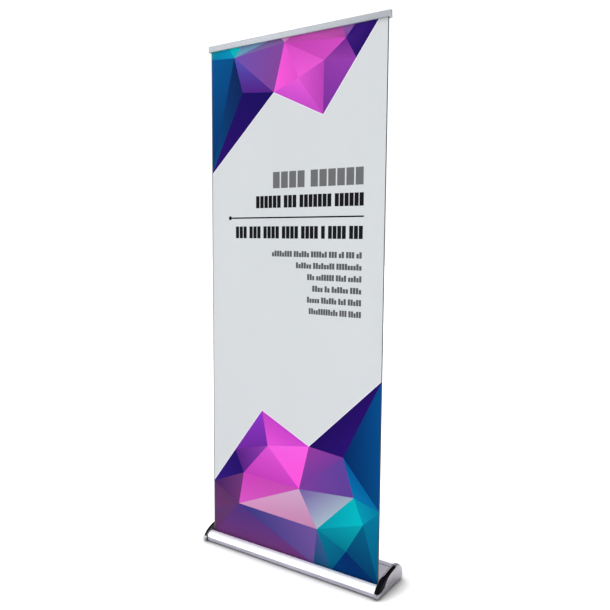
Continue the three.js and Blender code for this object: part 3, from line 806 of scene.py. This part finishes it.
def inlay_shell(side, mirror, loop, normal, inner, low, high, start, end):
    points, faces = [], []
    columns = list(range(start, end + 1))
    for n, i in enumerate(columns):
        here = loop[i]
        if n == 0:
            here = loop[i] * 0.8 + loop[i + 1] * 0.2
        if n == len(columns) - 1:
            here = loop[i] * 0.8 + loop[i - 1] * 0.2
        for w in np.linspace(low[i] + SEAM, high[i] - SEAM, ROWS_INLAY + 1):
            points.append(cover_point(here, normal[i], inner[i], w))
    width = ROWS_INLAY + 1
    for n in range(len(columns) - 1):
        for r in range(ROWS_INLAY):
            a = n * width + r
            faces.append((a, a + 1, a + width + 1, a + width))
    shell_piece(f"gloss_black_inlay_{side}", points, faces, mirror, "gloss_black_inlay", f"end_inlay_{side}")


# ---- top rail ---------------------------------------------------------------

def make_rail():
    top = JAW_HIGH.z
    front = JAW_LOW.y
    knuckle = top - RAIL_PIVOT.y
    bead = knuckle - RAIL_SKIN - 0.3
    low = JAW_LOW.z
    face = [(FRONT_LEG, LEG_TOP), (FRONT_LEG, low), (front, low)]
    face += [(front - 0.25 * math.sin(math.pi * k / 8), low + (top - 5 - low) * k / 8) for k in range(1, 8)]
    face += [(front, top - 5)]
    face += bezier([(front, top - 5), (front, top), (RAIL_PIVOT.x - 6.5, top), (RAIL_PIVOT.x, top)], 12)
    clip = arc(RAIL_PIVOT.x, RAIL_PIVOT.y, knuckle, knuckle, 90, -5, 18)
    jaw = sweep("rail_front_jaw_fine", [strip((face + clip[1:])[::-1], RAIL_SKIN)], -RAIL_HALF, RAIL_HALF,
                "rail_anodised", "rail_jaw", 30, 0.2)
    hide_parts("rail_front_jaw")

    leg = [(-57, 2189.5), (-57.8, 2184.6), (-52, 2180.5), (RAIL_BACK, 2176), (RAIL_BACK, RAIL_BOTTOM),
           (BACK_LEG, RAIL_BOTTOM), (BACK_LEG, LEG_TOP)]
    back = sweep("rail_back_profile_fine", [strip(leg, -RAIL_SKIN)], -RAIL_HALF, RAIL_HALF, "rail_anodised")
    round_bead = sweep("bead", [arc(RAIL_PIVOT.x, RAIL_PIVOT.y, bead, bead, 0, 348.75, 31),
                                arc(RAIL_PIVOT.x, RAIL_PIVOT.y, 1.3, 1.3, 0, 337.5, 15)],
                       -RAIL_HALF, RAIL_HALF, "rail_anodised")
    combine(back, round_bead, "UNION")
    smooth(back, 30)
    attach(back, "pole_top")
    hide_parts("rail_back_profile")

    for side in ("left", "right"):
        lowest, highest = cad(f"rail_cap_{side}")
        line = [(front, RAIL_BOTTOM), (RAIL_BACK, RAIL_BOTTOM), (RAIL_BACK, 2177)]
        line += arc(RAIL_PIVOT.x, RAIL_PIVOT.y, knuckle, knuckle, 0, 90, 16)
        line += bezier([(RAIL_PIVOT.x, top), (RAIL_PIVOT.x - 6.5, top), (front, top), (front, top - 5)], 12)
        eye = arc(RAIL_PIVOT.x, RAIL_PIVOT.y, 3, 3, 0, 348.75, 31)
        cap = sweep(f"rail_end_cap_{side}", [line, eye], lowest.x, highest.x, "grey_plastic", "pole_top",
                    30, 0.5)
        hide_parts(f"rail_cap_{side}")
    refine("rail_hook", "rail_pole_hook", "black_plastic", "pole_top", 0.8)


# ---- pole -------------------------------------------------------------------

def tube_profile(tube):
    return [(tube["bore"], tube["from"]), (tube["r"], tube["from"]), (tube["r"], tube["to"]),
            (tube["bore"], tube["to"])]


def make_pole():
    for name, node, tube, body in (("pole_section_lower", "pole_tube_lower", LOWER, "base"),
                                   ("pole_section_mid", "pole_tube_mid", MID, "pole_mid"),
                                   ("pole_section_top", "pole_tube_top", TOP, "pole_top")):
        piece = lathe(name, tube_profile(tube), "pole_anodised", body, 72, None, 0.3)
        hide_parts(node)
    make_twist_lock("twist_lock_lower", "lock_collar_lower", LOWER, MID, "lock_lower")
    make_twist_lock("twist_lock_upper", "lock_collar_upper", MID, TOP, "lock_upper")
    clear = LOWER["r"] + 0.4
    socket = [(0, -3), (SOCKET_R, -3), (SOCKET_R, 60.8), (19, 60.8), (19, 62.2), (18, 64), (clear, 64),
              (clear, -0.6), (0, -0.6)]
    piece = lathe("pole_floor_socket", socket, "black_plastic", "base", 72, None, 0.4)
    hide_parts("pole_socket")
    end, r, bore = TOP["to"], TOP["r"], TOP["bore"] - 0.3
    tip = [(0, end - 14), (bore, end - 14), (bore, end + 0.3), (r, end + 0.3), (r, end + 4), (4.8, end + 7),
           (4.8, end + 22), (3.6, end + 24), (0, end + 24)]
    piece = lathe("pole_top_spigot", tip, "black_plastic", "pole_top", 48, None, 0.4)
    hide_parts("pole_tip")


def make_twist_lock(name, node, outer, inner, body):
    """A fluted collar on the outer tube's end that tapers to the inner tube."""
    skirt, throat, at = outer["r"] + 0.3, inner["r"] + 0.3, outer["to"]
    grip = [(skirt + 3.0 + 0.45 * k / 10, at - 17 + 2.2 * k) for k in range(11)]
    profile = [(skirt, at - 20), (skirt + 2.6, at - 20), (skirt + 3.0, at - 19)] + grip
    profile += [(skirt + 3.6, at + 8), (throat + 3.2, at + 13), (throat + 2, at + 16), (throat, at + 16)]
    profile += [(throat, at + 0.3), (skirt, at + 0.3)]
    piece = lathe(name, profile, "black_plastic", body, 120, (24, 0.8, at - 17.5, at + 5.5), 0.25)
    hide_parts(node)


# ---- print ------------------------------------------------------------------

# Places on the print are (x, z) in millimetres and colours are 8-bit sRGB.
GROUND, OUTLINE = (216, 220, 223), (243, 236, 250)
HEADLINE, INK, SMALL_PRINT = (112, 113, 115), (24, 24, 27), (92, 94, 97)
LEFT_EDGE_SHADE, RIGHT_EDGE_SHADE = (116, 118, 122), (76, 78, 84)  # painted shade along the film's two cut edges, darker on the right
INK_STRENGTH = 0.667  # the film's reflectance for a colour, against the studio's light level
LOWER_EDGE = [(-425, 275), (-298, 446), (-148, 645), (94, 531), (425, 846)]
# Corners of the lower artwork's facets. The first five run along its upper edge.
LOWER_CORNERS = LOWER_EDGE + [
    (-118, 496), (-250, 350), (46, 340), (-278, 202), (258, 516), (308, 362), (136, 190), (352, 262),
    (276, 132), (425, 330), (208, 34), (122, 34), (425, 34), (-425, 34), (-425, 148),
]
# Each facet: three corners, the colour at the first one and the colour at the other two.
LOWER_FACETS = [
    (0, 1, 6, (52, 24, 128), (34, 12, 104)), (2, 1, 5, (142, 54, 202), (112, 40, 158)),
    (5, 1, 6, (150, 60, 178), (84, 32, 128)), (5, 2, 3, (232, 84, 216), (196, 66, 196)),
    (7, 5, 3, (255, 84, 220), (246, 96, 226)), (5, 6, 7, (226, 84, 214), (194, 62, 186)),
    (6, 8, 7, (206, 66, 188), (222, 88, 200)), (0, 6, 8, (68, 34, 96), (112, 54, 120)),
    (19, 0, 8, (108, 56, 106), (92, 50, 100)), (18, 19, 8, (104, 54, 100), (94, 56, 112)),
    (8, 18, 16, (80, 52, 132), (112, 56, 120)), (7, 8, 11, (208, 168, 204), (218, 150, 196)),
    (8, 11, 16, (52, 54, 130), (112, 84, 158)), (7, 11, 10, (116, 94, 162), (170, 188, 206)),
    (7, 9, 10, (124, 62, 156), (94, 66, 156)), (3, 7, 9, (148, 58, 160), (118, 60, 156)),
    (3, 9, 4, (30, 8, 92), (40, 12, 112)), (9, 4, 14, (0, 40, 98), (0, 78, 142)),
    (9, 10, 14, (0, 84, 150), (0, 116, 176)), (11, 10, 12, (0, 152, 172), (0, 180, 190)),
    (14, 10, 12, (0, 120, 160), (0, 150, 176)), (12, 11, 13, (0, 168, 178), (0, 134, 156)),
    (17, 12, 14, (0, 88, 130), (0, 116, 152)), (12, 13, 17, (0, 98, 134), (0, 70, 118)),
    (11, 13, 15, (0, 122, 146), (0, 96, 134)), (11, 15, 16, (78, 84, 146), (26, 88, 132)),
    (13, 15, 17, (0, 42, 104), (0, 58, 122)),
]
UPPER_EDGE = [(-425, 1655), (-90, 1968), (148, 1858), (292, 2050), (392, 2184)]
UPPER_CORNERS = UPPER_EDGE + [
    (-297, 2131), (-252, 1984), (-37, 2155), (30, 2010), (246, 2128), (150, 2060), (-425, 2184),
    (-425, 2140), (-332, 2184), (-248, 2184), (-64, 2184), (14, 2184), (226, 2184), (296, 2184),
]
UPPER_FACETS = [
    (0, 6, 1, (44, 12, 108), (26, 8, 96)), (0, 5, 6, (0, 74, 126), (10, 38, 96)),
    (0, 12, 5, (0, 50, 108), (0, 86, 150)), (12, 5, 13, (0, 120, 170), (0, 150, 186)),
    (12, 11, 13, (0, 140, 168), (0, 164, 180)), (5, 13, 14, (0, 176, 184), (0, 200, 204)),
    (5, 14, 15, (92, 172, 192), (116, 124, 172)), (5, 7, 15, (112, 116, 172), (128, 92, 156)),
    (5, 7, 1, (110, 82, 176), (132, 70, 156)), (5, 6, 1, (84, 84, 182), (82, 34, 136)),
    (7, 1, 8, (238, 84, 214), (255, 90, 224)), (8, 1, 2, (234, 92, 220), (206, 78, 206)),
    (8, 2, 10, (222, 86, 208), (184, 66, 182)), (7, 8, 10, (214, 74, 196), (238, 92, 214)),
    (7, 10, 9, (196, 66, 178), (206, 76, 192)), (7, 15, 16, (208, 128, 190), (228, 164, 212)),
    (7, 16, 9, (184, 72, 168), (204, 82, 186)), (9, 16, 17, (176, 70, 160), (196, 88, 180)),
    (9, 17, 18, (116, 62, 148), (152, 104, 176)), (9, 18, 4, (38, 14, 108), (58, 26, 122)),
    (9, 4, 3, (62, 24, 124), (40, 14, 104)), (9, 3, 10, (112, 40, 140), (146, 60, 166)),
    (2, 3, 10, (120, 48, 156), (152, 62, 176)),
]


def facets(corners, table, seed):
    """Triangles of the artwork, each with a colour at its three corners."""
    chance = random.Random(seed)
    result = []
    for a, b, c, near, far in table:
        near, far = np.array(near, float), np.array(far, float)
        tints = [near, far, far * chance.uniform(0.88, 1.06)]
        result.append(([corners[a], corners[b], corners[c]], [np.clip(t, 0, 255) for t in tints]))
    return result


def flat_patch(corners, colour):
    """An even patch: corners and a colour at each."""
    return corners, [np.array(colour, float)] * len(corners)


def rectangle(x0, x1, z0, z1):
    return [(x0, z0), (x1, z0), (x1, z1), (x0, z1)]


def text_blocks(right, left, low, high, words, colour, seed, uneven=0.0):
    """A row of plain blocks, grouped like words, that stands for a line of text."""
    chance = random.Random(seed)
    cells = sum(words) + 0.55 * (len(words) - 1)
    pitch = (right - left) / cells
    x = left
    row = []
    for word in words:
        for _ in range(word):
            trim = uneven * (high - low) * chance.choice((0, 0, 1))
            row.append(flat_patch(rectangle(x, x + pitch * 0.84, low, high - trim), colour))
            x += pitch
        x += 0.55 * pitch
    return row


def outline_patches(edge, width, colour):
    """A thin line along one side of the edge. A negative width puts it on the other side."""
    patches = []
    for (x0, z0), (x1, z1) in zip(edge, edge[1:]):
        length = math.hypot(x1 - x0, z1 - z0)
        nx, nz = -(z1 - z0) / length * width, (x1 - x0) / length * width
        patches.append(flat_patch([(x0, z0), (x1, z1), (x1 + nx, z1 + nz), (x0 + nx, z0 + nz)], colour))
    return patches


def ruled_line(left, right, z, thickness, dot_radius, colour):
    """A line with a round dot at its left end."""
    turns = np.linspace(0, 2 * math.pi, 25)[:-1]
    dot = [(dot_radius * math.cos(t) + left, z + dot_radius * math.sin(t)) for t in turns]
    bar = rectangle(left, right, z - thickness / 2, z + thickness / 2)
    return [flat_patch(bar, colour), flat_patch(dot, colour)]


def print_layers():
    """The print's coloured patches, from the ground up."""
    low, high = BANNER_LOW.z, BANNER_HIGH.z
    half = HALF_BANNER
    bands = 48  # rows in the ground, which split the film into bands along its height
    step = (high - low) / bands
    layers = [flat_patch(rectangle(-half, half, low + k * step, low + (k + 1) * step), GROUND)
              for k in range(bands)]
    layers += facets(LOWER_CORNERS, LOWER_FACETS, 5)
    layers += facets(UPPER_CORNERS, UPPER_FACETS, 9)
    layers += outline_patches(LOWER_EDGE, 3.0, OUTLINE)
    layers += outline_patches(UPPER_EDGE, -3.0, OUTLINE)
    layers += text_blocks(337, -93, 1584, 1650, [4, 6], HEADLINE, 1)
    layers += text_blocks(336, -181, 1505, 1555, [6, 3, 7, 6], INK, 2)
    layers += text_blocks(334, -291, 1380, 1430, [3, 3, 4, 4, 4, 1, 4, 3], INK, 3)
    layers += ruled_line(-322, 334, 1465.5, 6, 8.5, INK)
    rows = [(-97, [8, 6, 6, 3, 2, 3, 2]), (24, [6, 8, 9]), (79, [3, 7, 4, 5]), (104, [4, 2, 6, 4]),
            (79, [5, 6, 3, 5]), (88, [12, 3, 5])]
    for k, (left, words) in enumerate(rows):
        base = 1306 - 45.5 * k
        layers += text_blocks(330, left, base, base + 24, words, SMALL_PRINT, 10 + k, 0.28)
    # Painted shade: a dark strip down each cut edge of the film, darker on the right.
    layers.append(flat_patch(rectangle(-half, 4.0 - half, low, high), LEFT_EDGE_SHADE))
    layers.append(flat_patch(rectangle(half - 4.2, half, low, high), RIGHT_EDGE_SHADE))
    return layers


def make_banner():
    """The hanging film: the print's patches cut into one flat mesh, with its colours in it."""
    layers = print_layers()
    points, rings = [], []
    for corners, _ in layers:
        ring = list(range(len(points), len(points) + len(corners)))
        rings.append(ring if turns_left(corners) else ring[::-1])
        points += [Vector(c) for c in corners]
    cut = geometry.delaunay_2d_cdt(points, [], rings, 1, 1e-3)
    verts, faces, origin = cut[0], cut[2], cut[5]
    shape = []
    for x, z in (tuple(v) for v in verts):
        wave = noise.noise(Vector((x * 0.004, z * 0.0016, 3.1)))
        shape.append((x, BANNER_Y + 0.5 * wave, z))
    mesh = bpy.data.meshes.new("banner")
    mesh.from_pydata([tuple(c * MM for c in p) for p in shape], [], [tuple(f) for f in faces])
    colour_print(mesh, verts, faces, [layers[max(sources)] for sources in origin])
    banner = bpy.data.objects.new("banner", mesh)
    bpy.context.scene.collection.objects.link(banner)
    mesh.materials.append(FINISH["printed_film"])
    mesh.materials.append(FINISH["film_back"])
    mesh.polygons.foreach_set("use_smooth", [True] * len(mesh.polygons))
    if mesh.polygons[0].normal.y > 0:
        mesh.flip_normals()
    wall = banner.modifiers.new("film", "SOLIDIFY")
    wall.thickness = BANNER_THICK * MM
    wall.offset = 0
    wall.material_offset = 1
    wall.material_offset_rim = 1
    apply_modifiers(banner)
    banner.data.set_sharp_from_angle(angle=math.radians(40))
    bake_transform(banner)
    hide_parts("banner_sheet")


def colour_print(mesh, verts, faces, patches):
    """Each face corner's colour, from the topmost patch that covers the face."""
    layer = mesh.color_attributes.new("Print", "FLOAT_COLOR", "CORNER")
    colours = []
    for face, (corners, patch) in zip(faces, patches):
        for index in face:
            rgb = patch_colour(tuple(verts[index]), corners, patch)
            colours += [c * INK_STRENGTH for c in linear(np.clip(rgb, 0, 255))] + [1.0]
    layer.data.foreach_set("color", colours)


def turns_left(corners):
    shifted = corners[1:] + corners[:1]
    return sum(a[0] * b[1] - b[0] * a[1] for a, b in zip(corners, shifted)) > 0


def patch_colour(point, corners, colours):
    """The patch's colour at a point: even, or blended from a triangle's three corners."""
    if len(corners) != 3:
        return colours[0]
    (x0, z0), (x1, z1), (x2, z2) = corners
    area = (x1 - x0) * (z2 - z0) - (x2 - x0) * (z1 - z0)
    b = ((point[0] - x0) * (z2 - z0) - (x2 - x0) * (point[1] - z0)) / area
    c = ((x1 - x0) * (point[1] - z0) - (point[0] - x0) * (z1 - z0)) / area
    return colours[0] * (1 - b - c) + colours[1] * b + colours[2] * c


# ---- the rest ---------------------------------------------------------------

def finish_cad_nodes():
    """CAD nodes that stay get the finish of their slot in the record."""
    slots = {part["node"]: part["material_slot"] for part in frame["record"]["subparts"]}
    for name, node in frame["nodes"].items():
        slot = slots[name]
        finish = FINISH["film_back" if slot == "printed_film" else slot]
        node.data.materials.clear()
        node.data.materials.append(finish)


def make_pads():
    for side in ("left", "right"):
        for end in ("front", "rear"):
            refine(f"foot_pad_{side}_{end}", f"rubber_foot_{side}_{end}", "rubber", "base", 0.5, 2)


make_camera()
make_stage()
make_lights()
finish_cad_nodes()
make_base()
make_end_covers()
make_pads()
make_rail()
make_pole()
make_banner()
